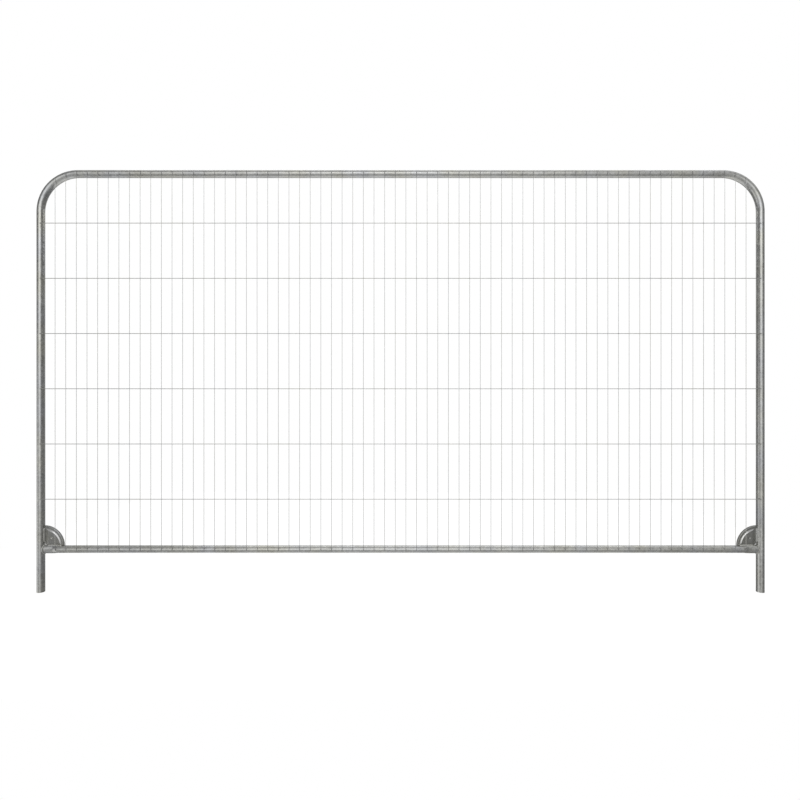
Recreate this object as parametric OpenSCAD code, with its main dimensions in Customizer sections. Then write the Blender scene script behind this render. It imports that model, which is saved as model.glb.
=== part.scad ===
// Temporary fence panel: a hoop of bent steel tube with a bottom rail, two pressed corner
// gussets and a welded wire mesh on its front. Millimetres, +Z up, front towards -Y.
// The origin is midway between the legs, on the ground, in the plane of the tubes' axes.

/* [Panel] */
// Overall width, over both uprights
panel_width = 3450; // [1800:10:3600]
// Overall height, from the leg ends to the top of the hoop
panel_height = 2000; // [1400:10:2400]
// Height of the bottom rail's axis above the leg ends
rail_height = 202; // [120:1:300]

/* [Frame tube] */
// Outside diameter of the hoop and of the bottom rail
tube_od = 35; // [30:0.5:42]
// Wall of the tube
tube_wall = 1.5; // [1:0.1:3]
// Radius of the hoop's two bends, to the tube's axis
bend_radius = 180; // [120:5:300]

/* [Pinched rail ends] */
// Depth, front to back, of the bottom rail where it is pinched
pinch_depth = 22; // [14:0.5:28]
// How far a pinched end swells above and below the round tube
pinch_swell = 2; // [0.5:0.1:5]
// Length of the pinched stretch, measured from the upright's face
pinch_length = 40; // [10:1:60]
// Length over which the rail goes from pinched to round
pinch_taper = 30; // [20:1:80]

/* [Mesh] */
// Diameter of the vertical wires
vertical_wire_d = 2; // [1.5:0.1:5]
// Diameter of the horizontal wires
cross_wire_d = 3; // [2:0.1:6]
// Spacing of the vertical wires, centre to centre
vertical_pitch = 50.1; // [40:0.1:120]
// Spacing of the horizontal wires, centre to centre
cross_pitch = 260.5; // [200:0.5:400]
// Height of the lowest horizontal wire above the bottom rail's axis
first_cross = 240; // [120:5:300]
// Least gap between the highest horizontal wire's centre and the top rail's axis
top_gap = 150; // [60:5:240]
// Least gap between the last vertical wire's centre and the upright's face
edge_gap = 25; // [20:1:45]
// Length of each vertical wire past the hoop's axis, at its top end
top_tail = 8; // [2:0.5:15]
// Length of each vertical wire past the bottom rail's axis, at its lower end
bottom_tail = 2.5; // [1:0.5:15]

/* [Gussets] */
// Radius of the quarter disc, from the corner where the tubes' faces meet
gusset_radius = 96; // [80:1:120]
// Thickness of the pressed sheet
gusset_sheet = 2; // [1:0.1:3]
// Radius of the half-round rib that runs along the rim
rib_radius = 2; // [1:0.1:5]
// Distance from the rim's edge to the rib's centre line
rib_inset = 6; // [5.5:0.1:8]
// Distance from the rim's edge to the raised panel
panel_inset = 16.5; // [14:0.5:24]
// Distance from the upright's face to the raised panel
panel_side_gap = 12.5; // [6:0.5:20]
// Distance from the rail's top to the raised panel
panel_foot_gap = 9; // [6:0.5:20]
// Height that the panel is raised towards the front
panel_raise = 3; // [2:0.5:9]
// Width of the sloping edge round the panel
panel_slope = 5; // [2:0.5:9]

/* [Welds] */
// Leg of the bead round each end of the bottom rail
rail_weld_leg = 4; // [2:0.5:6]
// Leg of the seams on both faces of each gusset
gusset_weld_leg = 6; // [1:0.5:8]
// Room between a gusset's snipped corner and the rail's bead
snip_clearance = 5; // [1:0.5:6]

/* [Hidden] */
$fn = 48;

// Sides of the circles that a hull blends
taper_facets = 32;
panel_facets = 96;

// Room for a cut to pass through a face
through = 1;

// Thickness of the slices that a hull blends
slice = 0.01;

tube_r = tube_od / 2;
bore_r = tube_r - tube_wall;
half_span = panel_width / 2 - tube_r;
top_z = panel_height - tube_r;
bend_x = half_span - bend_radius;
bend_z = top_z - bend_radius;

// The rail's ends, measured along X from the centre of the panel
upright_face_x = half_span - tube_r;
pinched_x = upright_face_x - pinch_length;
round_x = pinched_x - pinch_taper;
pinch_height = tube_od + 2 * pinch_swell;

// The vertical wires lie on the front of the tubes, and the horizontal ones behind them
vertical_wire_y = -tube_r - vertical_wire_d / 2;
cross_wire_y = -tube_r + cross_wire_d / 2;
cross_wire_seat = sqrt(pow(tube_r, 2) - pow(cross_wire_y, 2));
first_cross_z = rail_height + first_cross;
cross_count = floor((top_z - top_gap - first_cross_z) / cross_pitch) + 1;
pair_count = floor((upright_face_x - edge_gap) / vertical_pitch + 1 / 2);

// The rim of the raised panel's sloping edge
panel_radius = gusset_radius - panel_inset;
gusset_snip = pinch_swell + 2 * rail_weld_leg + snip_clearance;
sheet_front = gusset_sheet / 2;

// The groove behind the rib, where the sheet is drawn out
groove_radius = rib_radius / 2;

// The seams on the front stop one leg short of the rib
front_seam_end = gusset_radius - rib_inset - rib_radius - gusset_weld_leg;

tube_colour = "#8f918d";
gusset_colour = "#858782";
wire_colour = "#b4b6b4";
weld_colour = "#a2a39e";

function pair_name(i) = str("vertical_wires_", i < 10 ? "0" : "", i);
function pair_x(i) = (i - 1 / 2) * vertical_pitch;
function cross_name(k) = str("cross_wire_", k);
function cross_z(k) = first_cross_z + (k - 1) * cross_pitch;

// The hoop's axis on its right half: its height at a distance x, and its distance at a height z
function hoop_z(x) =
    x <= bend_x ? top_z : bend_z + sqrt(pow(bend_radius, 2) - pow(x - bend_x, 2));
function hoop_x(z) =
    z <= bend_z ? half_span : bend_x + sqrt(pow(bend_radius, 2) - pow(z - bend_z, 2));

// Turns a right-hand piece into a left-hand one
module left_hand() {
    mirror([1, 0, 0]) children();
}

// Lays a shape that was drawn along Z down along X
module along_x() {
    rotate([0, 90, 0]) children();
}

// Right half of the hoop as a solid rod; its leg end is at z = start
module half_hoop(rod_r, start) {
    translate([half_span, 0, start]) cylinder(h = bend_z - start, r = rod_r);
    translate([bend_x, 0, bend_z])
        rotate([90, 0, 0])
            rotate_extrude(angle = 90)
                translate([bend_radius, 0]) circle(r = rod_r);
}

module hoop_rod(rod_r, start) {
    half_hoop(rod_r, start);
    left_hand() half_hoop(rod_r, start);
    translate([0, 0, top_z]) along_x() cylinder(h = 2 * bend_x, r = rod_r, center = true);
}

module hoop_tube() {
    color(tube_colour)
        difference() {
            hoop_rod(tube_r, 0);
            hoop_rod(bore_r, -through);
        }
}

module right_upright_rod() {
    translate([half_span, 0, 0]) cylinder(h = bend_z, r = tube_r);
}

// Cross-section of a pinched end, with its height along X and its depth along Y
module pinch_outline(inset) {
    end_r = pinch_depth / 2 - inset;
    flat = pinch_height - pinch_depth;
    square([flat, 2 * end_r], center = true);
    for (end = [-1, 1]) translate([end * flat / 2, 0]) circle(r = end_r);
}

// A length of pinched rod at the rail's height
module pinched_rod(x, length, inset) {
    translate([x, 0, rail_height])
        along_x()
            linear_extrude(height = length) pinch_outline(inset);
}

// Taper between the round tube and the pinched end, as thin slices that a hull joins
module taper_rod(inset) {
    $fn = taper_facets;
    hull() {
        translate([round_x, 0, rail_height]) along_x() cylinder(h = slice, r = tube_r - inset);
        pinched_rod(pinched_x - slice, slice, inset);
    }
}

// Right end of the rail as a solid rod, up to the upright's axis
module rail_end_rod(inset) {
    taper_rod(inset);
    pinched_rod(pinched_x, pinch_length + tube_r, inset);
}

module rail_rod(inset) {
    translate([0, 0, rail_height])
        along_x() cylinder(h = 2 * round_x, r = tube_r - inset, center = true);
    rail_end_rod(inset);
    left_hand() rail_end_rod(inset);
}

module bottom_rail() {
    color(tube_colour)
        difference() {
            rail_rod(0);
            rail_rod(tube_wall);
            right_upright_rod();
            left_hand() right_upright_rod();
        }
}

// Bead in the corner between the upright and the pinched end
module right_rail_weld() {
    color(weld_colour)
        difference() {
            intersection() {
                pinched_rod(pinched_x, pinch_length + tube_r, -rail_weld_leg);
                translate([half_span, 0, 0]) cylinder(h = bend_z, r = tube_r + rail_weld_leg);
            }
            pinched_rod(pinched_x - through, pinch_length + tube_r + 2 * through, 0);
            right_upright_rod();
        }
}

module left_rail_weld() {
    left_hand() right_rail_weld();
}

// Puts a shape drawn in the gusset's own plane into the right-hand corner. There X runs
// along the rail from the upright's face, Y runs up from the rail's top, and Z is forwards
module in_right_corner() {
    translate([upright_face_x, 0, rail_height + tube_r])
        rotate([90, 0, 0])
            left_hand() children();
}

// Part of a disc, from a line beside the upright and a line above the rail
module sector(radius, side, foot) {
    intersection() {
        circle(r = radius);
        translate([side, foot]) square(radius);
    }
}

// Raised panel with sloping sides; back moves it towards the rear
module panel_form(back) {
    $fn = panel_facets;
    translate([0, 0, sheet_front - back])
        hull() {
            linear_extrude(height = slice)
                sector(panel_radius, panel_side_gap, panel_foot_gap);
            translate([0, 0, panel_raise - slice])
                linear_extrude(height = slice)
                    sector(
                        panel_radius - panel_slope,
                        panel_side_gap + panel_slope,
                        panel_foot_gap + panel_slope
                    );
        }
}

// Half-round rib along the rim, one quarter turn; foot is how far its sides reach back
module rim_rib(radius, foot) {
    translate([0, 0, sheet_front])
        rotate_extrude(angle = 90)
            translate([gusset_radius - rib_inset, 0]) {
                intersection() {
                    circle(r = radius);
                    translate([-radius, 0]) square([2 * radius, radius]);
                }
                translate([-radius, -foot]) square([2 * radius, foot]);
            }
}

// The sheet reaches into both tubes, which then cut its edges to their own surfaces
module gusset_form() {
    difference() {
        union() {
            translate([0, 0, -sheet_front])
                linear_extrude(height = gusset_sheet) sector(gusset_radius, -through, -through);
            panel_form(0);
            rim_rib(rib_radius, gusset_sheet);
        }
        rim_rib(groove_radius, gusset_sheet + through);
        panel_form(gusset_sheet);
        translate([0, 0, -sheet_front - through])
            linear_extrude(height = gusset_sheet + 2 * through)
                polygon([
                    [-through, -through],
                    [gusset_snip + through, -through],
                    [-through, gusset_snip + through]
                ]);
    }
}

module right_gusset() {
    color(gusset_colour)
        difference() {
            in_right_corner() gusset_form();
            rail_rod(0);
            right_upright_rod();
        }
}

module left_gusset() {
    left_hand() right_gusset();
}

// Three-cornered seam behind the sheet, beside the upright, from the snipped corner upwards
module seam(end) {
    translate([-through, 0, -sheet_front])
        rotate([-90, 0, 0])
            translate([0, 0, gusset_snip])
                linear_extrude(height = end - gusset_snip)
                    polygon([
                        [0, 0],
                        [gusset_weld_leg + through, 0],
                        [through, gusset_weld_leg],
                        [0, gusset_weld_leg]
                    ]);
}

// That seam, and its like above the rail
module seam_pair(end) {
    seam(end);
    mirror([1, -1, 0]) seam(end);
}

module right_gusset_welds() {
    color(weld_colour)
        difference() {
            in_right_corner() {
                seam_pair(gusset_radius);
                mirror([0, 0, 1]) seam_pair(front_seam_end);
            }
            rail_rod(0);
            right_upright_rod();
        }
}

module left_gusset_welds() {
    left_hand() right_gusset_welds();
}

// Horizontal wire whose ends are seated on the front shoulders of the hoop
module cross_wire(k) {
    reach = hoop_x(cross_z(k)) - cross_wire_seat;
    color(wire_colour)
        difference() {
            translate([0, cross_wire_y, cross_z(k)])
                along_x() cylinder(h = 2 * reach, r = cross_wire_d / 2, center = true);
            half_hoop(tube_r, 0);
            left_hand() half_hoop(tube_r, 0);
        }
}

module vertical_wire(x) {
    start = rail_height - bottom_tail;
    translate([x, vertical_wire_y, start])
        cylinder(h = hoop_z(x) + top_tail - start, r = vertical_wire_d / 2);
}

// The two vertical wires that stand as far from the middle on either side
module vertical_wires(i) {
    color(wire_colour) {
        vertical_wire(pair_x(i));
        left_hand() vertical_wire(pair_x(i));
    }
}

hoop_tube();
bottom_rail();
left_gusset();
right_gusset();
left_rail_weld();
right_rail_weld();
left_gusset_welds();
right_gusset_welds();
for (k = [1:cross_count]) cross_wire(k);
for (i = [1:pair_count]) vertical_wires(i);
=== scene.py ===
# %% [markdown]
# # A temporary fence panel, dressed step by step
# The panel is a hoop of galvanised tube with a bottom rail, two pressed corner plates and a
# welded wire mesh on its front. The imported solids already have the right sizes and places,
# but their round parts are coarse. Each step below puts a finer piece where a solid stands.

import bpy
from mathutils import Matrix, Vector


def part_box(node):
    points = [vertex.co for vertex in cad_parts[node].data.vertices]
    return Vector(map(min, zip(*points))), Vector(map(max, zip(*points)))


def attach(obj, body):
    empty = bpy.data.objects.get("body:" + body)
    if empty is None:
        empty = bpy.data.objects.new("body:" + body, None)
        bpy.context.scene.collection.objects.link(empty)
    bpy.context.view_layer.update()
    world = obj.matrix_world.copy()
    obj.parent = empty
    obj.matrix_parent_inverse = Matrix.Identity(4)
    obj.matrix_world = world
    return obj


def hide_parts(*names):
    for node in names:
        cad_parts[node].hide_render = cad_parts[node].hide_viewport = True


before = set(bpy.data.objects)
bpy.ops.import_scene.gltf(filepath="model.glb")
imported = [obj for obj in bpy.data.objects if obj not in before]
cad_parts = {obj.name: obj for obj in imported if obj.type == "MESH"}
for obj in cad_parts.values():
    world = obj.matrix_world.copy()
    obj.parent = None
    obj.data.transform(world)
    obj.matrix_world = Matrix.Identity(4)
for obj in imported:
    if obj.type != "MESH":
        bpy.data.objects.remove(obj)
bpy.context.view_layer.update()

# %% [markdown]
# ## The camera
# The photograph was taken from straight in front, about chest high and quite close, so the
# uprights show a little of their inner sides. A focal length in pixels turns into millimetres
# of lens by the ratio of the sensor's width to the picture's width.

# %% Place the camera
import math

import bpy
from mathutils import Vector

PICTURE_WIDTH = 800
FOCAL_PIXELS = 528.19
SENSOR_WIDTH = 36.0
CAMERA_PLACE = (-0.0027, -2.5078, 0.9100)
LEVEL_GAZE = (math.pi / 2, 0.0, 0.0)

camera_data = bpy.data.cameras.new("camera")
camera_data.sensor_width = SENSOR_WIDTH
camera_data.lens = FOCAL_PIXELS / PICTURE_WIDTH * SENSOR_WIDTH
camera = bpy.data.objects.new("camera", camera_data)
camera.location = CAMERA_PLACE
camera.rotation_euler = LEVEL_GAZE
bpy.context.scene.collection.objects.link(camera)
bpy.context.scene.camera = camera
bpy.context.scene.view_settings.view_transform = "Standard"
print("lens:", round(camera_data.lens, 2), "mm at", tuple(camera.location))

# %% [markdown]
# ## A shorthand for nodes
# The surround, the finishes and the shapes are all node trees. Writing each node as three or
# four lines would hide the idea, so one helper makes a node, sets its options, and fills each
# input with a plain value or with a link from another node.


# %% Add a node to a tree
def add_node(tree, kind, inputs=None, **options):
    node = tree.nodes.new(kind)
    for option, value in options.items():
        setattr(node, option, value)
    for key, value in (inputs or {}).items():
        if isinstance(value, bpy.types.NodeSocket):
            tree.links.new(value, node.inputs[key])
        else:
            node.inputs[key].default_value = value
    return node


def calculate(tree, operation, first, second=0.0):
    node = add_node(tree, "ShaderNodeMath", {0: first, 1: second}, operation=operation)
    return node.outputs[0]


print("helpers: add_node, calculate")

# %% [markdown]
# ## The studio's surround
# Bare metal shows what stands round it, so the surround matters as much as the lamps. Real
# boards and walls could be built, but a world made of a few soft shapes is quicker to steer.
# It is a dim room with a bright wall behind the camera, a white ceiling, a low white board on
# the left, pale ground in front and below, and a backdrop. A patch of it is round: the angle
# between a direction and the patch's middle fades it. The wall is a window between angles.

# %% Start the surround
world = bpy.data.worlds.new("studio")
world.use_nodes = True
bpy.context.scene.world = world
sky = world.node_tree
sky.nodes.clear()
direction = add_node(sky, "ShaderNodeTexCoord").outputs["Generated"]
print("world:", world.name)


# %% Patches and bands of light
def soft_edge(value, dark, bright, strength=1.0):
    """Goes smoothly from 0, where the value is dark, to the strength, where it is bright."""
    return add_node(
        sky,
        "ShaderNodeMapRange",
        {
            "Value": value,
            "From Min": dark,
            "From Max": bright,
            "To Min": 0.0,
            "To Max": strength,
        },
        interpolation_type="SMOOTHSTEP",
    ).outputs["Result"]


def sky_patch(middle, inner, outer, strength):
    """Is full up to the inner angle from its middle, and gone past the outer one."""
    towards = Vector(middle).normalized()
    nearness = add_node(
        sky, "ShaderNodeVectorMath", {0: direction, 1: towards}, operation="DOT_PRODUCT"
    ).outputs["Value"]
    dark = math.cos(math.radians(outer))
    bright = math.cos(math.radians(inner))
    return soft_edge(nearness, dark, bright, strength)


def sky_band(angle, start, full_from, full_to, end):
    """Rises from 0 to 1 between the first two angles in degrees, and falls between the others."""
    rising = soft_edge(angle, math.radians(start), math.radians(full_from))
    falling = soft_edge(angle, math.radians(end), math.radians(full_to))
    return calculate(sky, "MULTIPLY", rising, falling)


print("helpers: soft_edge, sky_patch, sky_band")

# %% Add up the room
# A patch is a direction, the angles of its full part and of its edge in degrees, and its strength.
CEILING = ((0.24, -0.02, 1.0), 12, 64, 0.56)
LOW_BOARD = ((-0.90, -0.224, -0.375), 4, 36, 0.78)
APRON = ((0.0, -1.0, -0.75), 8, 46, 0.30)
GROUND = ((0.0, 0.35, -1.0), 25, 50, 0.68)
GROUND_SPAN = (-36, -26, 26, 36)
WALL_TURN = (-56, -10, 2, 46)
WALL_RISE = (-24, 16, 18, 42)
WALL_STRENGTH = 1.3
AMBIENT = 0.25

along = add_node(sky, "ShaderNodeSeparateXYZ", {0: direction}).outputs
turn = calculate(sky, "ARCTAN2", along["X"], calculate(sky, "MULTIPLY", along["Y"], -1.0))
rise = calculate(sky, "ARCSINE", along["Z"])
aside = calculate(sky, "ARCSINE", along["X"])
wall = calculate(sky, "MULTIPLY", sky_band(turn, *WALL_TURN), sky_band(rise, *WALL_RISE))
wall = calculate(sky, "MULTIPLY", wall, WALL_STRENGTH)
room = calculate(sky, "ADD", wall, AMBIENT)
for patch in (CEILING, LOW_BOARD, APRON):
    room = calculate(sky, "ADD", room, sky_patch(*patch))
ground = calculate(sky, "MULTIPLY", sky_patch(*GROUND), sky_band(aside, *GROUND_SPAN))
room = calculate(sky, "ADD", room, ground)
print("room:", len(sky.nodes), "nodes")

# %% [markdown]
# The camera sees plain white all round. In the metal the backdrop shows as a dimmer glow, so
# that the tubes' edges stay darker than the white behind them.

# %% Show white to the camera and a backdrop to the metal
BACKDROP = ((0.0, 1.0, 0.42), 14, 45, 0.40)
WHITE = (1.0, 1.0, 1.0, 1.0)


def seen_straight(rays):
    """Is 1 for what the camera sees, straight or through something clear, and 0 otherwise."""
    return calculate(
        rays.id_data, "MAXIMUM", rays.outputs["Is Camera Ray"], rays.outputs["Is Transmission Ray"]
    )


rays = add_node(sky, "ShaderNodeLightPath")
behind = calculate(sky, "MULTIPLY", sky_patch(*BACKDROP), rays.outputs["Is Glossy Ray"])
room = calculate(sky, "ADD", room, behind)
# Inputs 2 and 3 of a Mix node are the ones for plain numbers.
level = add_node(
    sky, "ShaderNodeMix", {0: seen_straight(rays), 2: room, 3: 1.0}, data_type="FLOAT"
).outputs[0]
background = add_node(sky, "ShaderNodeBackground", {"Color": WHITE, "Strength": level})
add_node(sky, "ShaderNodeOutputWorld", {"Surface": background.outputs[0]})
print("surround:", len(sky.nodes), "nodes")

# %% [markdown]
# ## The floor
# A white sheet lies under the legs. It is an ordinary pale surface that takes the panel's soft
# shadow. Seen by the camera, most of its light is its own, so that it runs into the white behind
# it without an edge. The metal shows the surround's own ground in its place.

# %% Lay the floor
FLOOR_HALF_WIDTH = 2.4
FLOOR_FRONT, FLOOR_BACK = -0.9, 2.7


def new_object(name, points=(), edges=(), faces=()):
    mesh = bpy.data.meshes.new(name)
    mesh.from_pydata(points, edges, faces)
    thing = bpy.data.objects.new(name, mesh)
    bpy.context.scene.collection.objects.link(thing)
    return thing


corners = [
    (-FLOOR_HALF_WIDTH, FLOOR_FRONT, 0.0),
    (FLOOR_HALF_WIDTH, FLOOR_FRONT, 0.0),
    (FLOOR_HALF_WIDTH, FLOOR_BACK, 0.0),
    (-FLOOR_HALF_WIDTH, FLOOR_BACK, 0.0),
]
floor = new_object("floor", corners, faces=[(0, 1, 2, 3)])
floor.visible_glossy = False
print("floor:", 2 * FLOOR_HALF_WIDTH, "by", FLOOR_BACK - FLOOR_FRONT, "m")

# %% Whiten the floor
SHEET_GREY = (0.80, 0.80, 0.80, 1.0)
FLOOR_GLOW = 1.16
GLOW_SHARE = 0.8

white_sheet = bpy.data.materials.new("white_sheet")
white_sheet.use_nodes = True
tree = white_sheet.node_tree
tree.nodes.clear()
paper = add_node(tree, "ShaderNodeBsdfDiffuse", {"Color": SHEET_GREY})
glow = add_node(tree, "ShaderNodeEmission", {"Color": WHITE, "Strength": FLOOR_GLOW})
rays = add_node(tree, "ShaderNodeLightPath")
share = calculate(tree, "MULTIPLY", seen_straight(rays), GLOW_SHARE)
mixed = add_node(
    tree, "ShaderNodeMixShader", {0: share, 1: paper.outputs[0], 2: glow.outputs[0]}
)
add_node(tree, "ShaderNodeOutputMaterial", {"Surface": mixed.outputs[0]})
floor.data.materials.append(white_sheet)
print("white_sheet:", len(tree.nodes), "nodes")

# %% [markdown]
# ## The lamps
# One wide softbox stands behind the camera, above eye level. A second one, long and narrow,
# hangs behind the panel and higher than it, and lights the tubes' upper sides. A bare bulb
# would give thin, hard lines on a tube; a softbox of a few square metres gives broad ones. Its
# power follows from its size: pi times the area times the brightness that it should show.


# %% Hang the softboxes
def hang_softbox(name, place, aim, width, height, brightness):
    lamp = bpy.data.lights.new(name, "AREA")
    lamp.shape = "RECTANGLE"
    lamp.size = width
    lamp.size_y = height
    lamp.energy = math.pi * width * height * brightness
    box = bpy.data.objects.new(name, lamp)
    box.location = place
    box.rotation_euler = (Vector(aim) - Vector(place)).to_track_quat("-Z", "Y").to_euler()
    box.visible_camera = False
    bpy.context.scene.collection.objects.link(box)
    print(name, round(lamp.energy), "W")


hang_softbox(
    "front_softbox",
    place=(-0.2, -7.0, 4.9),
    aim=(0.0, 0.0, 0.8),
    width=3.4,
    height=1.8,
    brightness=1.0,
)
hang_softbox(
    "back_softbox",
    place=(0.3, 1.5, 3.1),
    aim=(0.3, 0.0, 0.2),
    width=5.0,
    height=0.9,
    brightness=1.4,
)

# %% [markdown]
# ## The zinc finish
# Hot-dip galvanising leaves a grey, uneven skin. It has broad cloudy patches, blotches about
# as big as a fingertip, faint crystal cells, and a slight waviness that breaks up reflections.
# A picture of zinc could be wrapped round the tubes, but it would stretch or repeat on such long
# ones. Noise nodes have no end, so the skin is built from them, and each kind of piece gets its
# own settings. On the tubes the pattern has to follow the bends, so it reads an attribute that
# holds each point's place on the tube as if it were straight.

# %% Clouds and ranges
# A cloud is the size of its blobs in metres, its detail, and a shift that sets it apart.
PATCHES = (0.110, 3.0, 0.0)
BLOTCHES = (0.0096, 3.0, 3.0)
WEATHER = (0.150, 3.0, 7.0)
SWELL = (0.018, 2.0, 11.0)
GRAIN = (0.0022, 2.0, 13.0)


def cloud(tree, place, kind, stretch=1.0):
    """Soft noise from 0 to 1. A stretch below 1 draws its blobs out along the tube."""
    size, detail, shift = kind
    scaled = add_node(
        tree,
        "ShaderNodeMapping",
        {"Vector": place, "Location": (shift, 0.0, 0.0), "Scale": (stretch, 1.0, 1.0)},
    )
    return add_node(
        tree,
        "ShaderNodeTexNoise",
        {"Vector": scaled.outputs[0], "Scale": 1.0 / size, "Detail": detail},
    ).outputs["Fac"]


def fit(tree, value, low, high, new_low, new_high):
    """Moves the range from low to high onto a new one, and stays between its ends."""
    return add_node(
        tree,
        "ShaderNodeMapRange",
        {
            "Value": value,
            "From Min": low,
            "From Max": high,
            "To Min": new_low,
            "To Max": new_high,
        },
    ).outputs["Result"]


print("helpers: cloud, fit")

# %% Colour the zinc
CRYSTALS_PER_METRE = 150.0
CLOUD_RANGE = (0.32, 0.68)
BLOTCH_RANGE = (0.30, 0.70)
PATCH_SHARE = 0.34
BLOTCH_SHARE = 0.56
CRYSTAL_SHARE = 0.16
TONE_STOPS = (0.12, 0.88)
DARK_HUE = (1.000, 1.000, 0.985)
LIGHT_HUE = (1.000, 1.003, 0.990)
TINT_STOPS = (0.36, 0.62)
WARM_TINT = (1.0, 0.992, 0.92, 1.0)
COOL_TINT = (0.97, 0.985, 1.01, 1.0)


def shade(tone, hue):
    return (tone * hue[0], tone * hue[1], tone * hue[2], 1.0)


def two_colours(tree, share, stops, colours):
    ramp = add_node(tree, "ShaderNodeValToRGB", {"Fac": share})
    for element, stop, colour in zip(ramp.color_ramp.elements, stops, colours):
        element.position = stop
        element.color = colour
    return ramp.outputs["Color"]


def mix_colours(tree, share, first, second, blend_type="MIX"):
    """A Mix node's inputs 6 and 7 and its output 2 are the ones for colours."""
    return add_node(
        tree,
        "ShaderNodeMix",
        {0: share, 6: first, 7: second},
        data_type="RGBA",
        blend_type=blend_type,
    ).outputs[2]


def zinc_colour(tree, place, blotches, tones, stretch):
    """A grey between two tones, from patches, blotches and crystals, with a slight tint."""
    patches = cloud(tree, place, PATCHES, stretch)
    cells = add_node(
        tree, "ShaderNodeTexVoronoi", {"Vector": place, "Scale": CRYSTALS_PER_METRE}
    ).outputs["Color"]
    crystal = add_node(tree, "ShaderNodeSeparateColor", {0: cells}).outputs[0]
    tone = calculate(
        tree,
        "ADD",
        fit(tree, patches, *CLOUD_RANGE, 0.0, PATCH_SHARE),
        fit(tree, blotches, *BLOTCH_RANGE, 0.0, BLOTCH_SHARE),
    )
    tone = calculate(tree, "ADD", tone, fit(tree, crystal, 0.0, 1.0, 0.0, CRYSTAL_SHARE))
    dark, light = tones
    greys = (shade(dark, DARK_HUE), shade(light, LIGHT_HUE))
    grey = two_colours(tree, tone, TONE_STOPS, greys)
    weather = cloud(tree, place, WEATHER)
    tint = two_colours(tree, weather, TINT_STOPS, (WARM_TINT, COOL_TINT))
    return mix_colours(tree, 1.0, grey, tint, blend_type="MULTIPLY")


print("helpers: shade, two_colours, mix_colours, zinc_colour")

# %% Mix a zinc finish
SWELL_STRETCH = 0.6
GRAIN_STRENGTH = 0.15
GRAIN_HEIGHT = 0.0002


def zinc_skin(tree, place, wave, stretch):
    """Slow swells as high as the wave, with a fine grain on them."""
    swell = cloud(tree, place, SWELL, stretch * SWELL_STRETCH)
    grain = cloud(tree, place, GRAIN)
    swollen = add_node(
        tree, "ShaderNodeBump", {"Strength": 1.0, "Distance": wave, "Height": swell}
    ).outputs[0]
    return add_node(
        tree,
        "ShaderNodeBump",
        {
            "Strength": GRAIN_STRENGTH,
            "Distance": GRAIN_HEIGHT,
            "Height": grain,
            "Normal": swollen,
        },
    ).outputs[0]


def zinc_finish(name, tones, roughness, wave, stretch=1.0, follow_tube=False, mark=None):
    material = bpy.data.materials.new(name)
    material.use_nodes = True
    tree = material.node_tree
    tree.nodes.clear()
    if follow_tube:
        straight = add_node(tree, "ShaderNodeAttribute", attribute_name="straight")
        place = straight.outputs["Vector"]
    else:
        place = add_node(tree, "ShaderNodeTexCoord").outputs["Object"]

    blotches = cloud(tree, place, BLOTCHES, stretch)
    colour = zinc_colour(tree, place, blotches, tones, stretch)
    # A mark paints light or shade into the colour: its grey is mixed in where the mark is.
    if mark:
        where, grey = mark
        colour = mix_colours(tree, where(tree, place), colour, (grey, grey, grey, 1.0))
    zinc = add_node(
        tree,
        "ShaderNodeBsdfPrincipled",
        {
            "Base Color": colour,
            "Metallic": 1.0,
            "Roughness": fit(tree, blotches, *CLOUD_RANGE, *roughness),
            "Normal": zinc_skin(tree, place, wave, stretch),
        },
    )
    add_node(tree, "ShaderNodeOutputMaterial", {"Surface": zinc.outputs[0]})
    print("finish:", name, "with", len(tree.nodes), "nodes")
    return material


print("helpers: zinc_skin, zinc_finish")

# %% [markdown]
# ## Painted light on the finish
# Each plate has a painted highlight: it is lighter on the slope along its panel's rim, where
# that slope faces the light from above. The vertical wires have painted shade: they are darker
# near both ends, where they stand in front of the tubes. Each mark is a function that says where
# it is, from 0 to 1: the highlight is stored on the plates' points, and the shade goes by height.

# %% Mark the painted highlight on the plates and the painted shade on the wires
# How far the vertical wires' painted shade reaches above the rail and below the hoop.
SHADE_ABOVE_RAIL = 0.0075
SHADE_BELOW_TOP = 0.0470
SHADE_FADE = 0.004

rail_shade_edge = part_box("bottom_rail")[1].z + SHADE_ABOVE_RAIL
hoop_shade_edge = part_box("hoop_tube")[1].z - SHADE_BELOW_TOP


# Where the plates get their painted highlight, as stored on their points.
def painted_rim_highlight(tree, place):
    return add_node(tree, "ShaderNodeAttribute", attribute_name="rim_highlight").outputs["Fac"]


# Painted shade: the vertical wires are darker below the rail's top and from just under the hoop
# upward.
def painted_end_shade(tree, place):
    height = add_node(tree, "ShaderNodeSeparateXYZ", {0: place}).outputs["Z"]
    at_rail = fit(tree, height, rail_shade_edge, rail_shade_edge - SHADE_FADE, 0.0, 1.0)
    at_hoop = fit(tree, height, hoop_shade_edge, hoop_shade_edge + SHADE_FADE, 0.0, 1.0)
    return calculate(tree, "MAXIMUM", at_rail, at_hoop)


print("shaded below", round(rail_shade_edge, 4), "and above", round(hoop_shade_edge, 4), "m")

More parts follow.
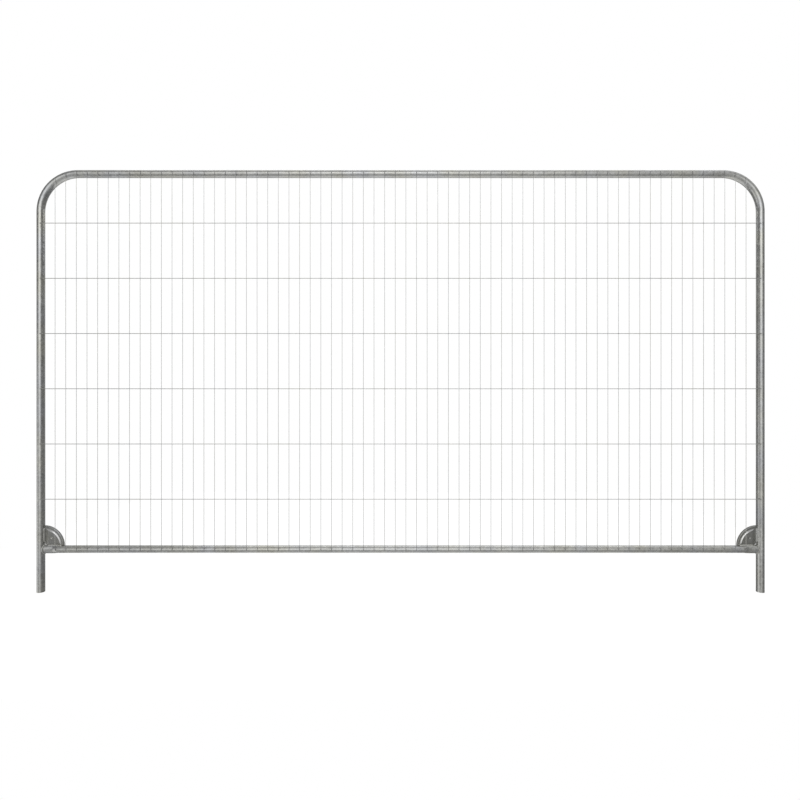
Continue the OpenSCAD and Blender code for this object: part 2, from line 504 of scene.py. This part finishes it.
# %% Make the finishes
tube_zinc = zinc_finish(
    "tube_zinc",
    tones=(0.40, 0.60),
    roughness=(0.22, 0.36),
    wave=0.0008,
    stretch=0.9,
    follow_tube=True,
)
plate_zinc = zinc_finish(
    "plate_zinc",
    tones=(0.31, 0.39),
    roughness=(0.15, 0.22),
    wave=0.0001,
    # 0.70 is the grey of the painted highlight on the panel's rim slope.
    mark=(painted_rim_highlight, 0.70),
)
bead_zinc = zinc_finish(
    "bead_zinc", tones=(0.38, 0.60), roughness=(0.20, 0.36), wave=0.0003
)
wire_zinc = zinc_finish(
    "wire_zinc",
    tones=(0.59, 0.79),
    roughness=(0.26, 0.40),
    wave=0.0004,
    # 0.37 is the grey of the painted shade near the wires' ends.
    mark=(painted_end_shade, 0.37),
)
cross_zinc = zinc_finish(
    "cross_zinc", tones=(0.40, 0.56), roughness=(0.26, 0.40), wave=0.0004
)
# The weld spots' zinc is darker than the wires': this is partly the welds' own zinc and partly
# painted shade for the crevices round them.
weld_zinc_and_shade = zinc_finish(
    "weld_zinc_and_shade", tones=(0.32, 0.46), roughness=(0.42, 0.58), wave=0.0004
)

# %% [markdown]
# ## Geometry trees
# Tubes, beads and wires follow rules, so Geometry Nodes make them from a few named sizes. The
# next helpers open a tree with named inputs, close it with Realize Instances and Set Material,
# run it once on an object, and keep the result as a plain mesh.

# %% Open, close and run a geometry tree
KINDS = {"size": "NodeSocketFloat", "count": "NodeSocketInt"}


def open_tree(name, **inputs):
    tree = bpy.data.node_groups.new(name, "GeometryNodeTree")
    tree.interface.new_socket("Path", in_out="INPUT", socket_type="NodeSocketGeometry")
    for label, kind in inputs.items():
        tree.interface.new_socket(label, in_out="INPUT", socket_type=KINDS[kind])
    tree.interface.new_socket("Shape", in_out="OUTPUT", socket_type="NodeSocketGeometry")
    return tree, tree.nodes.new("NodeGroupInput").outputs


def close_tree(tree, shape, finish):
    real = add_node(tree, "GeometryNodeRealizeInstances", {"Geometry": shape}).outputs[0]
    dressed = add_node(
        tree, "GeometryNodeSetMaterial", {"Geometry": real, "Material": finish}
    ).outputs[0]
    add_node(tree, "NodeGroupOutput", {0: dressed})
    print("tree:", tree.name, "with", len(tree.nodes), "nodes")


def settle(piece):
    """Turns a piece and its modifiers into one plain mesh."""
    graph = bpy.context.evaluated_depsgraph_get()
    mesh = bpy.data.meshes.new_from_object(
        piece.evaluated_get(graph), preserve_all_data_layers=True, depsgraph=graph
    )
    piece.modifiers.clear()
    piece.data = mesh
    mesh.name = piece.name


def run_tree(tree, piece, **sizes):
    modifier = piece.modifiers.new(tree.name, "NODES")
    modifier.node_group = tree
    for socket in tree.interface.items_tree:
        if socket.in_out == "INPUT" and socket.name in sizes:
            modifier[socket.identifier] = sizes[socket.name]
    settle(piece)


print("helpers: open_tree, close_tree, settle, run_tree")

# %% [markdown]
# ## The hoop
# The real hoop is one length of tube, bent twice round a former. It could be drawn as cylinders
# and parts of a torus, but the joints between them would show. Instead four corner points make
# a path, Fillet Curve rounds its two upper corners, and a circle is swept along it. The tree
# also stores each point's place along and round the tube, for the finish.


# %% Draw the tree of a bent tube
def remember(tree, shape, name, kind, value):
    """Stores a value on every point of a shape, under a name."""
    return add_node(
        tree,
        "GeometryNodeStoreNamedAttribute",
        {"Geometry": shape, "Name": name, "Value": value},
        data_type=kind,
    ).outputs[0]


def recall(tree, name, kind):
    return add_node(
        tree, "GeometryNodeInputNamedAttribute", {"Name": name}, data_type=kind
    ).outputs[0]


tube_tree, size = open_tree(
    "bent_tube", bend_radius="size", bend_steps="count", tube_radius="size", sides="count"
)
path = add_node(tube_tree, "GeometryNodeMeshToCurve", {"Mesh": size["Path"]}).outputs[0]
bent = add_node(
    tube_tree,
    "GeometryNodeFilletCurve",
    {"Curve": path, "Count": size["bend_steps"], "Radius": size["bend_radius"]},
    mode="POLY",
).outputs[0]
along = add_node(tube_tree, "GeometryNodeSplineParameter").outputs["Length"]
bent = remember(tube_tree, bent, "along", "FLOAT", along)
ring = add_node(
    tube_tree,
    "GeometryNodeCurvePrimitiveCircle",
    {"Resolution": size["sides"], "Radius": size["tube_radius"]},
).outputs[0]
on_ring = add_node(tube_tree, "GeometryNodeInputPosition").outputs[0]
ring = remember(tube_tree, ring, "round", "FLOAT_VECTOR", on_ring)
tube = add_node(
    tube_tree, "GeometryNodeCurveToMesh", {"Curve": bent, "Profile Curve": ring}
).outputs[0]
across = add_node(
    tube_tree, "ShaderNodeSeparateXYZ", {0: recall(tube_tree, "round", "FLOAT_VECTOR")}
).outputs
unbent = add_node(
    tube_tree,
    "ShaderNodeCombineXYZ",
    {"X": recall(tube_tree, "along", "FLOAT"), "Y": across["X"], "Z": across["Y"]},
).outputs[0]
tube = remember(tube_tree, tube, "straight", "FLOAT_VECTOR", unbent)
close_tree(tube_tree, tube, tube_zinc)

# %% Bend the hoop
TUBE_RADIUS = 0.0175
BEND_RADIUS = 0.180
TUBE_SIDES = 56
BEND_STEPS = 48

hoop_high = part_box("hoop_tube")[1]
half_span = hoop_high.x - TUBE_RADIUS
top_z = hoop_high.z - TUBE_RADIUS
bend_x = half_span - BEND_RADIUS
bend_z = top_z - BEND_RADIUS


def chain(count, first=0):
    """The edges that join a run of points, one to the next."""
    return [(i, i + 1) for i in range(first, first + count - 1)]


corners = [
    (-half_span, 0.0, 0.0),
    (-half_span, 0.0, top_z),
    (half_span, 0.0, top_z),
    (half_span, 0.0, 0.0),
]
hoop = new_object("hoop", corners, chain(len(corners)))
run_tree(
    tube_tree,
    hoop,
    bend_radius=BEND_RADIUS,
    bend_steps=BEND_STEPS,
    tube_radius=TUBE_RADIUS,
    sides=TUBE_SIDES,
)
print("hoop surface:", len(hoop.data.polygons), "faces")

# %% [markdown]
# So far the hoop is a skin. A second skin could be drawn inside it, but a Solidify modifier
# does the same for every tube and sheet, and the wall shows at the open leg ends. A crease angle
# keeps cut edges crisp while curves stay smooth. Then every piece is handed to the frame with
# the same three calls.

# %% Give a surface its wall and hand a piece over
import bmesh

TUBE_WALL = 0.0015
CREASE = math.radians(38)
CM3_PER_M3 = 1e6


def thicken(piece, wall):
    solid = piece.modifiers.new("wall", "SOLIDIFY")
    solid.thickness = wall
    solid.offset = -1.0
    solid.use_even_offset = True
    settle(piece)
    form = bmesh.new()
    form.from_mesh(piece.data)
    metal = form.calc_volume(signed=True) * CM3_PER_M3
    form.free()
    print(piece.name, "metal:", round(metal, 1), "cm3")


def crease(piece):
    form = bmesh.new()
    form.from_mesh(piece.data)
    for face in form.faces:
        face.smooth = True
    for edge in form.edges:
        edge.smooth = len(edge.link_faces) != 2 or edge.calc_face_angle(0.0) < CREASE
    form.to_mesh(piece.data)
    form.free()


def hand_over(piece, slot, *nodes):
    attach(piece, "root")
    if nodes:
        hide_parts(*nodes)
    triangles = sum(len(face.vertices) - 2 for face in piece.data.polygons)
    print(piece.name, triangles, "triangles, stands for", len(nodes), "nodes")


thicken(hoop, TUBE_WALL)
crease(hoop)
hand_over(hoop, "tube", "hoop_tube")

# %% [markdown]
# ## The bottom rail
# The rail is the same tube. Each end is pinched in a press, so that it is flatter than it is
# tall, and cut to a saddle that fits round the upright. A swept circle can't change its shape
# on the way, and a loft of rings can: the ring goes from a circle to a long round shape, and the
# last ring's points each stop on the upright's skin.

# %% Shape the rail's rings
PINCH_DEPTH = 0.0235
PINCH_HEIGHT = 0.039
SEAT_OVERLAP = 0.0004


def pinched_point(turn):
    """A point of the pinched outline, a share of a turn round from the back."""
    angle = 2 * math.pi * turn
    return PINCH_DEPTH / 2 * math.cos(angle), PINCH_HEIGHT / 2 * math.sin(angle)


def rail_ring(x, pinch):
    """A ring across the rail at x: a circle for a pinch of 0, the pinched outline for 1."""
    ring = []
    for i in range(TUBE_SIDES):
        turn = i / TUBE_SIDES
        flat_y, flat_z = pinched_point(turn)
        round_y = TUBE_RADIUS * math.cos(2 * math.pi * turn)
        round_z = TUBE_RADIUS * math.sin(2 * math.pi * turn)
        y = round_y + (flat_y - round_y) * pinch
        z = round_z + (flat_z - round_z) * pinch
        ring.append((x, y, z))
    return ring


def upright_skin(y):
    """How far out the right upright's inner skin is, at a depth of y."""
    return half_span - math.sqrt(TUBE_RADIUS**2 - y**2)


def seat_ring():
    """The saddle-cut ring that lies on the upright's skin."""
    return [(upright_skin(y) + SEAT_OVERLAP, y, z) for _, y, z in rail_ring(0.0, 1.0)]


print("rail end:", PINCH_DEPTH, "by", PINCH_HEIGHT, "m")

# %% Loft the rail
PINCH_LENGTH = 0.040
PINCH_TAPER = 0.030
TAPER_STEPS = 18
PATTERN_SHIFT = 12.0

rail_low, rail_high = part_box("bottom_rail")
rail_z = (rail_low.z + rail_high.z) / 2
upright_face_x = half_span - TUBE_RADIUS
round_x = upright_face_x - PINCH_LENGTH - PINCH_TAPER


def ease(share):
    return share * share * (3 - 2 * share)


right_half = [rail_ring(0.0, 0.0)]
for step in range(TAPER_STEPS + 1):
    share = step / TAPER_STEPS
    right_half.append(rail_ring(round_x + PINCH_TAPER * share, ease(share)))
right_half.append(seat_ring())
left_half = [[(-x, y, z) for x, y, z in ring] for ring in reversed(right_half[1:])]
rings = left_half + right_half

points = [(x, y, z + rail_z) for ring in rings for x, y, z in ring]
faces = []
for row in range(len(rings) - 1):
    start, end = row * TUBE_SIDES, (row + 1) * TUBE_SIDES
    for i in range(TUBE_SIDES):
        j = (i + 1) % TUBE_SIDES
        faces.append((start + i, start + j, end + j, end + i))
rail = new_object("rail", points, faces=faces)
straight = rail.data.attributes.new("straight", "FLOAT_VECTOR", "POINT")
for i, (x, y, z) in enumerate(points):
    straight.data[i].vector = (x + PATTERN_SHIFT, y, z - rail_z)
rail.data.materials.append(tube_zinc)
thicken(rail, TUBE_WALL)
crease(rail)
hand_over(rail, "tube", "bottom_rail")

# %% [markdown]
# ## The corner plates
# Each corner is stiffened by a quarter disc of pressed sheet. A rounded rib runs along its rim,
# and its middle is a raised panel with sloping sides and one shallow dimple. It could be modelled
# face by face, but a pressed sheet is one height above each point of a plane. So a grid of rings
# and spokes is pushed forwards by a height rule, and a wall is added behind it. Each point also
# stores how much painted highlight it gets on the panel's rim slope, for the finish.

# %% Say how high the pressing stands
PLATE_RADIUS = 0.096
RIB_RADIUS = 0.002
RIB_HALF_WIDTH = 0.0026
RIB_INSET = 0.006
RIB_ROUNDING = 1.5
PANEL_INSET = 0.0165
PANEL_SIDE_GAP = 0.0095
PANEL_FOOT_GAP = 0.0050
PANEL_RAISE = 0.003
RIM_SLOPE = 0.0049
SIDE_SLOPE = 0.0100
FOOT_SLOPE = 0.0075
DIMPLE_PLACE = (0.036, 0.037)
DIMPLE_RADIUS = 0.0065
DIMPLE_DEPTH = 0.0014
MM_PER_M = 1000


def soft_least(first, second, blend=0.5):
    """The lesser of two shares, with the corner between them rounded."""
    overlap = max(blend - abs(first - second), 0.0) / blend
    return min(first, second) - overlap * overlap * blend / 4


def soft_step(share, blend=0.14):
    """Rises from 0 to 1 in a straight slope with a rounded foot and crown."""
    if share <= -blend or share >= 1 + blend:
        return 0.0 if share < 0.5 else 1.0
    if share < blend:
        return (share + blend) ** 2 / (4 * blend)
    if share > 1 - blend:
        return 1 - (1 + blend - share) ** 2 / (4 * blend)
    return share


def rim_share(u, v):
    """How far up the slope along the panel's rim a point is."""
    return (PLATE_RADIUS - PANEL_INSET - math.hypot(u, v)) / RIM_SLOPE


def panel_share(u, v):
    """How far up the panel's slope a point is: 0 at its foot and 1 at its crown."""
    inside = soft_least((u - PANEL_SIDE_GAP) / SIDE_SLOPE, (v - PANEL_FOOT_GAP) / FOOT_SLOPE)
    return soft_least(inside, rim_share(u, v))


def plate_height(u, v):
    """The height at u from the upright's face and v above the rail."""
    height = PANEL_RAISE * soft_step(panel_share(u, v))
    across = abs(math.hypot(u, v) - (PLATE_RADIUS - RIB_INSET)) / RIB_HALF_WIDTH
    if across < 1:
        height += RIB_RADIUS * math.cos(across * math.pi / 2) ** RIB_ROUNDING
    from_dimple = math.hypot(u - DIMPLE_PLACE[0], v - DIMPLE_PLACE[1]) / DIMPLE_RADIUS
    if from_dimple < 1:
        height -= DIMPLE_DEPTH * math.cos(from_dimple * math.pi / 2) ** 2
    return height


print("dimple:", round(plate_height(*DIMPLE_PLACE) * MM_PER_M, 2), "mm above the sheet")

# %% Press the corner plates
PLATE_SHEET = 0.002
PLATE_SNIP = 0.0135
PLATE_OVERLAP = 0.0006
PLATE_SPOKES = 96
PLATE_RINGS = 96
HIGHLIGHT_FLATNESS = 4
SIDES = (("left", -1), ("right", 1))

plate_foot_z = rail_z + TUBE_RADIUS


def rim_highlight_share(u, v):
    """The painted highlight: 1 on the slope along the panel's rim, 0 elsewhere."""
    on_slope = max(1 - (2 * rim_share(u, v) - 1) ** HIGHLIGHT_FLATNESS, 0.0)
    return on_slope * soft_step(panel_share(u, v) * 2)


def press_plate(name, side):
    points, rim_highlight = [], []
    for spoke in range(PLATE_SPOKES + 1):
        angle = math.pi / 2 * spoke / PLATE_SPOKES
        start = PLATE_SNIP / (math.cos(angle) + math.sin(angle))
        for ring in range(PLATE_RINGS + 1):
            reach = start + (PLATE_RADIUS - start) * ring / PLATE_RINGS
            u = reach * math.cos(angle)
            v = reach * math.sin(angle)
            front = -PLATE_SHEET / 2 - plate_height(u, v)
            rim_highlight.append(rim_highlight_share(u, v))
            if spoke == 0:
                v = -PLATE_OVERLAP
            if spoke == PLATE_SPOKES:
                u = -PLATE_OVERLAP
            points.append((side * (upright_face_x - u), front, plate_foot_z + v))
    faces = []
    width = PLATE_RINGS + 1
    for spoke in range(PLATE_SPOKES):
        for ring in range(PLATE_RINGS):
            corner = spoke * width + ring
            face = (corner, corner + 1, corner + width + 1, corner + width)
            faces.append(face if side < 0 else face[::-1])
    plate = new_object(name, points, faces=faces)
    plate.data.attributes.new("rim_highlight", "FLOAT", "POINT").data.foreach_set("value", rim_highlight)
    plate.data.materials.append(plate_zinc)
    thicken(plate, PLATE_SHEET)
    crease(plate)
    return plate


for label, side in SIDES:
    plate = press_plate(label + "_plate", side)
    hand_over(plate, "gusset", label + "_gusset")

# %% [markdown]
# ## Weld beads
# A welder ran a bead round each pinched rail end and seams along each plate. A bead laid by
# hand has ripples a few millimetres apart and is never quite even. Sculpting that would be slow,
# so a tree sweeps a flattened circle along a path and changes its scale on the way: a cosine
# makes the ripples, a little noise makes them wander, and the ends are rounded off.

# %% Draw the tree of a weld bead
POINTS_PER_RIPPLE = 5.0
WANDER_SCALE = 90.0

bead_tree, size = open_tree(
    "weld_bead",
    bead_radius="size",
    ripple_length="size",
    ripple_depth="size",
    unevenness="size",
    flatness="size",
    end_length="size",
    end_share="size",
    sides="count",
)


def bead_math(operation, first, second=0.0):
    return calculate(bead_tree, operation, first, second)


path = add_node(bead_tree, "GeometryNodeMeshToCurve", {"Mesh": size["Path"]}).outputs[0]
step = bead_math("DIVIDE", size["ripple_length"], POINTS_PER_RIPPLE)
path = add_node(
    bead_tree, "GeometryNodeResampleCurve", {"Curve": path, "Length": step}, mode="LENGTH"
).outputs[0]
along = add_node(bead_tree, "GeometryNodeSplineParameter").outputs["Length"]
wander = add_node(
    bead_tree, "ShaderNodeTexNoise", {"Scale": WANDER_SCALE, "Detail": 1.0}
).outputs["Fac"]
wander = bead_math("SUBTRACT", wander, 0.5)
ripple = bead_math("ADD", bead_math("DIVIDE", along, size["ripple_length"]), wander)
ripple = bead_math("COSINE", bead_math("MULTIPLY", ripple, 2 * math.pi))
ripple = bead_math("MULTIPLY", ripple, size["ripple_depth"])
wander = bead_math("MULTIPLY", wander, size["unevenness"])
swelling = bead_math("ADD", bead_math("ADD", ripple, wander), 1.0)
whole = add_node(bead_tree, "GeometryNodeSplineLength").outputs["Length"]
from_end = bead_math("MINIMUM", along, bead_math("SUBTRACT", whole, along))
from_end = bead_math("DIVIDE", from_end, size["end_length"])
back = bead_math("MAXIMUM", bead_math("SUBTRACT", 1.0, from_end), 0.0)
rounded = bead_math("SQRT", bead_math("SUBTRACT", 1.0, bead_math("MULTIPLY", back, back)))
rounded = bead_math("MAXIMUM", rounded, size["end_share"])
swelling = bead_math("MULTIPLY", swelling, rounded)
ring = add_node(
    bead_tree,
    "GeometryNodeCurvePrimitiveCircle",
    {"Resolution": size["sides"], "Radius": size["bead_radius"]},
).outputs[0]
squeeze = add_node(
    bead_tree, "ShaderNodeCombineXYZ", {"X": 1.0, "Y": size["flatness"], "Z": 1.0}
).outputs[0]
ring = add_node(
    bead_tree, "GeometryNodeTransform", {"Geometry": ring, "Scale": squeeze}
).outputs[0]
roll = recall(bead_tree, "roll", "FLOAT")
path = add_node(bead_tree, "GeometryNodeSetCurveTilt", {"Curve": path, "Tilt": roll}).outputs[0]
bead = add_node(
    bead_tree,
    "GeometryNodeCurveToMesh",
    {"Curve": path, "Profile Curve": ring, "Scale": swelling, "Fill Caps": True},
).outputs[0]
close_tree(bead_tree, bead, bead_zinc)

# %% [markdown]
# The path round a rail end is the pinched outline, pushed out a little and laid on the upright's
# skin. The seams are straight lines beside the upright and above the rail, on the plate's back
# and on its front. Each path stores a roll, which turns the flat side of its bead.

# %% Draw the beads' paths
RAIL_BEAD_STEPS = 120
RAIL_BEAD_OUT = 0.0012
RAIL_BEAD_LIFT = 0.0010
SEAM_OUT = 0.0018
SEAM_END = 0.004
PINCH_SWELL = 0.0014


def rail_bead_path(side):
    path = []
    for i in range(RAIL_BEAD_STEPS):
        y, z = pinched_point(i / RAIL_BEAD_STEPS)
        swell = 1 + RAIL_BEAD_OUT / math.hypot(y, z)
        y, z = y * swell, z * swell
        x = upright_skin(y) - RAIL_BEAD_LIFT
        path.append((side * x, y, rail_z + z))
    return path


def seam_paths(side):
    """Each seam's points and its roll."""
    paths = []
    low = PLATE_SNIP + SEAM_END
    rib_edge = PLATE_RADIUS - RIB_INSET - RIB_HALF_WIDTH
    upright_x = side * (upright_face_x - SEAM_OUT)
    foot_z = plate_foot_z + SEAM_OUT
    for face, high in ((1, PLATE_RADIUS - SEAM_END), (-1, rib_edge - SEAM_END)):
        y = face * (PLATE_SHEET / 2 + SEAM_OUT)
        up = [(upright_x, y, plate_foot_z + low), (upright_x, y, plate_foot_z + high)]
        run = [
            (side * (upright_face_x - low), y, foot_z + PINCH_SWELL),
            (side * (upright_face_x - high), y, foot_z),
        ]
        roll = face * side * math.pi / 4
        paths += [(up, roll), (run, roll)]
    return paths


print("paths: 1 round a rail end and", len(seam_paths(1)), "seams on a plate")

# %% Lay the beads
RAIL_BEAD = {"bead_radius": 0.0034, "flatness": 0.8, "end_share": 1.0}
SEAM_BEAD = {"bead_radius": 0.0050, "flatness": 0.45, "end_share": 0.3}
RIPPLES = {"ripple_length": 0.0028, "ripple_depth": 0.045, "unevenness": 0.60}
BEAD_END = 0.005
BEAD_SIDES = 14


def lay_beads(name, paths, closed, sizes, *nodes):
    points, edges, rolls = [], [], []
    for path, roll in paths:
        first = len(points)
        points.extend(path)
        rolls.extend([roll] * len(path))
        edges.extend(chain(len(path), first))
        if closed:
            edges.append((len(points) - 1, first))
    beads = new_object(name, points, edges)
    beads.data.attributes.new("roll", "FLOAT", "POINT").data.foreach_set("value", rolls)
    run_tree(bead_tree, beads, end_length=BEAD_END, sides=BEAD_SIDES, **RIPPLES, **sizes)
    crease(beads)
    hand_over(beads, "weld", *nodes)


for label, side in SIDES:
    around = [(rail_bead_path(side), 0.0)]
    lay_beads(label + "_rail_bead", around, True, RAIL_BEAD, label + "_rail_weld")
    seams = seam_paths(side)
    lay_beads(label + "_plate_seams", seams, False, SEAM_BEAD, label + "_gusset_welds")

# %% [markdown]
# ## The vertical wires
# The mesh has a wire every 50 mm, welded to the front of the top and bottom tubes. Instances are
# the natural way: a line of points, a cylinder of unit height on each point, and a scale that
# makes it as tall as it needs to be. Near the corners the hoop bends down, so a wire's top
# follows the bend: bend height plus the root of radius squared less distance squared.

# %% Measure the vertical wires
vertical_nodes = sorted(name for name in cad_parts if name.startswith("vertical_wires_"))
first_low, first_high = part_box(vertical_nodes[0])
last_low, last_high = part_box(vertical_nodes[-1])
vertical_d = first_high.y - first_low.y
vertical_count = 2 * len(vertical_nodes)
vertical_pitch = (last_high.x - last_low.x - vertical_d) / (vertical_count - 1)
vertical_y = -TUBE_RADIUS - vertical_d / 2
bottom_z = first_low.z
top_tail = first_high.z - top_z
print("vertical wires:", vertical_count, "every", round(vertical_pitch * MM_PER_M, 2), "mm")

# %% Draw the tree of the vertical wires
upright_tree, size = open_tree(
    "upright_wires",
    count="count",
    pitch="size",
    diameter="size",
    front="size",
    bottom="size",
    tail="size",
    bend_x="size",
    bend_z="size",
    bend_radius="size",
    sides="count",
)


def wire_math(operation, first, second=0.0):
    return calculate(upright_tree, operation, first, second)


def line_of_points(tree, count, start, offset):
    """A row of points, from where it starts and how far each is from the last."""
    return add_node(
        tree,
        "GeometryNodeMeshLine",
        {
            "Count": count,
            "Start Location": add_node(tree, "ShaderNodeCombineXYZ", start).outputs[0],
            "Offset": add_node(tree, "ShaderNodeCombineXYZ", offset).outputs[0],
        },
    ).outputs[0]


def unit_rod(tree, sides):
    """A rod one metre thick and one metre tall, to be scaled."""
    return add_node(
        tree, "GeometryNodeMeshCylinder", {"Vertices": sides, "Radius": 0.5, "Depth": 1.0}
    ).outputs["Mesh"]


width = wire_math("MULTIPLY", wire_math("SUBTRACT", size["count"], 1.0), size["pitch"])
start = {"X": wire_math("MULTIPLY", width, -0.5), "Y": size["front"], "Z": size["bottom"]}
row = line_of_points(upright_tree, size["count"], start, {"X": size["pitch"]})
place = add_node(upright_tree, "GeometryNodeInputPosition").outputs[0]
place_x = add_node(upright_tree, "ShaderNodeSeparateXYZ", {0: place}).outputs["X"]
past = wire_math("SUBTRACT", wire_math("ABSOLUTE", place_x), size["bend_x"])
past = wire_math("MAXIMUM", past, 0.0)
radius_squared = wire_math("MULTIPLY", size["bend_radius"], size["bend_radius"])
climb = wire_math("SQRT", wire_math("SUBTRACT", radius_squared, wire_math("MULTIPLY", past, past)))
rise = wire_math("ADD", wire_math("ADD", size["bend_z"], climb), size["tail"])
rise = wire_math("SUBTRACT", rise, size["bottom"])
rod = add_node(
    upright_tree,
    "GeometryNodeTransform",
    {"Geometry": unit_rod(upright_tree, size["sides"]), "Translation": (0.0, 0.0, 0.5)},
).outputs[0]
scale = add_node(
    upright_tree,
    "ShaderNodeCombineXYZ",
    {"X": size["diameter"], "Y": size["diameter"], "Z": rise},
).outputs[0]
wires = add_node(
    upright_tree,
    "GeometryNodeInstanceOnPoints",
    {"Points": row, "Instance": rod, "Scale": scale},
).outputs[0]
close_tree(upright_tree, wires, wire_zinc)

# %% Stand the vertical wires
VERTICAL_SIDES = 16

vertical_wires = new_object("vertical_wires")
run_tree(
    upright_tree,
    vertical_wires,
    count=vertical_count,
    pitch=vertical_pitch,
    diameter=vertical_d,
    front=vertical_y,
    bottom=bottom_z,
    tail=top_tail,
    bend_x=bend_x,
    bend_z=bend_z,
    bend_radius=BEND_RADIUS,
    sides=VERTICAL_SIDES,
)
crease(vertical_wires)
hand_over(vertical_wires, "wire", *vertical_nodes)

# %% [markdown]
# ## The horizontal wires
# Six thicker wires lie behind the vertical ones, and their ends rest on the shoulders of the
# uprights. They repeat in the same way, on a line of points that climbs, with the rod laid over.

# %% Measure the horizontal wires
CROSS_OVERLAP = 0.002

cross_nodes = sorted(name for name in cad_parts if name.startswith("cross_wire_"))
low_first, high_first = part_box(cross_nodes[0])
low_last, high_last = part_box(cross_nodes[-1])
cross_d = high_first.z - low_first.z
first_cross_z = (low_first.z + high_first.z) / 2
last_cross_z = (low_last.z + high_last.z) / 2
cross_pitch = (last_cross_z - first_cross_z) / (len(cross_nodes) - 1)
cross_y = -TUBE_RADIUS + cross_d / 2
cross_half = upright_skin(cross_y) + CROSS_OVERLAP
print("horizontal wires:", len(cross_nodes), "every", round(cross_pitch * MM_PER_M, 2), "mm")

# %% Lay the horizontal wires
CROSS_SIDES = 18
LAID_OVER = (0.0, math.pi / 2, 0.0)

level_tree, size = open_tree(
    "level_wires",
    count="count",
    pitch="size",
    diameter="size",
    front="size",
    first="size",
    length="size",
    sides="count",
)
start = {"Y": size["front"], "Z": size["first"]}
row = line_of_points(level_tree, size["count"], start, {"Z": size["pitch"]})
scale = add_node(
    level_tree,
    "ShaderNodeCombineXYZ",
    {"X": size["diameter"], "Y": size["diameter"], "Z": size["length"]},
).outputs[0]
rod = unit_rod(level_tree, size["sides"])
wires = add_node(
    level_tree,
    "GeometryNodeInstanceOnPoints",
    {"Points": row, "Instance": rod, "Rotation": LAID_OVER, "Scale": scale},
).outputs[0]
close_tree(level_tree, wires, cross_zinc)

cross_wires = new_object("cross_wires")
run_tree(
    level_tree,
    cross_wires,
    count=len(cross_nodes),
    pitch=cross_pitch,
    diameter=cross_d,
    front=cross_y,
    first=first_cross_z,
    length=2 * cross_half,
    sides=CROSS_SIDES,
)
crease(cross_wires)
hand_over(cross_wires, "wire", *cross_nodes)

# %% [markdown]
# ## The mesh welds
# A machine presses the wires together and welds every crossing at once, which leaves a small
# nugget between the two wires. The wires' ends are welded to the tubes in the same way. The
# nuggets could be placed one by one, but a rule is shorter: one flattened ball stands on every
# point of a mesh, with a fixed seed for the small differences in size.

# %% Draw the tree of the weld spots
SPOT_BALL = {"Segments": 10, "Rings": 6, "Radius": 0.5}

spot_tree, size = open_tree(
    "weld_spots",
    width="size",
    depth="size",
    height="size",
    lean="size",
    spread="size",
    seed="count",
)
ball = add_node(spot_tree, "GeometryNodeMeshUVSphere", SPOT_BALL).outputs["Mesh"]
# Inputs 2 and 3 and output 1 of a Random Value node are the ones for plain numbers.
share = add_node(
    spot_tree,
    "FunctionNodeRandomValue",
    {
        2: calculate(spot_tree, "SUBTRACT", 1.0, size["spread"]),
        3: calculate(spot_tree, "ADD", 1.0, size["spread"]),
        "Seed": size["seed"],
    },
    data_type="FLOAT",
).outputs[1]
whole = add_node(
    spot_tree,
    "ShaderNodeCombineXYZ",
    {"X": size["width"], "Y": size["depth"], "Z": size["height"]},
).outputs[0]
scale = add_node(
    spot_tree, "ShaderNodeVectorMath", {0: whole, "Scale": share}, operation="SCALE"
).outputs[0]
turned = add_node(spot_tree, "ShaderNodeCombineXYZ", {"X": size["lean"]}).outputs[0]
spots = add_node(
    spot_tree,
    "GeometryNodeInstanceOnPoints",
    {"Points": size["Path"], "Instance": ball, "Rotation": turned, "Scale": scale},
).outputs[0]
close_tree(spot_tree, spots, weld_zinc_and_shade)

# %% Weld the crossings
SPOT_SPREAD = 0.18
# A spot is its width, depth and height.
NUGGET = (1.6 * vertical_d, 0.9 * vertical_d, 1.25 * cross_d)


def weld_spots(name, points, sizes, seed, lean=0.0):
    spots = new_object(name, points)
    width, depth, height = sizes
    run_tree(
        spot_tree,
        spots,
        width=width,
        depth=depth,
        height=height,
        lean=lean,
        spread=SPOT_SPREAD,
        seed=seed,
    )
    crease(spots)
    hand_over(spots, "weld")


columns = [(i - (vertical_count - 1) / 2) * vertical_pitch for i in range(vertical_count)]
rows = [first_cross_z + i * cross_pitch for i in range(len(cross_nodes))]
crossings = [(x, -TUBE_RADIUS, z) for x in columns for z in rows]
weld_spots("crossing_welds", crossings, NUGGET, seed=4)

# %% Weld the wires' ends to the tubes
FILLET = (0.0036, 0.0027, 0.0085)
FILLET_SINK = 0.0003
FILLET_SHIFT = 0.0015
FILLET_LEAN = 0.10
END_NUGGET = (0.0085, 0.0044, 1.8 * cross_d)
END_INSET = 0.001
END_SINK = 0.0005


def hoop_height(x):
    """The height of the hoop's axis above a place along the panel."""
    past = max(abs(x) - bend_x, 0.0)
    return bend_z + math.sqrt(BEND_RADIUS**2 - past**2)


fillet_y = -TUBE_RADIUS + FILLET_SINK
at_rail = [(x, fillet_y, rail_z + FILLET_SHIFT) for x in columns]
weld_spots("rail_wire_welds", at_rail, FILLET, seed=9, lean=-FILLET_LEAN)
at_hoop = [(x, fillet_y, hoop_height(x) - FILLET_SHIFT) for x in columns]
weld_spots("hoop_wire_welds", at_hoop, FILLET, seed=10, lean=FILLET_LEAN)
tip_x = cross_half - CROSS_OVERLAP - END_INSET
tips = [(side * tip_x, cross_y + END_SINK, z) for _, side in SIDES for z in rows]
weld_spots("cross_end_welds", tips, END_NUGGET, seed=14)
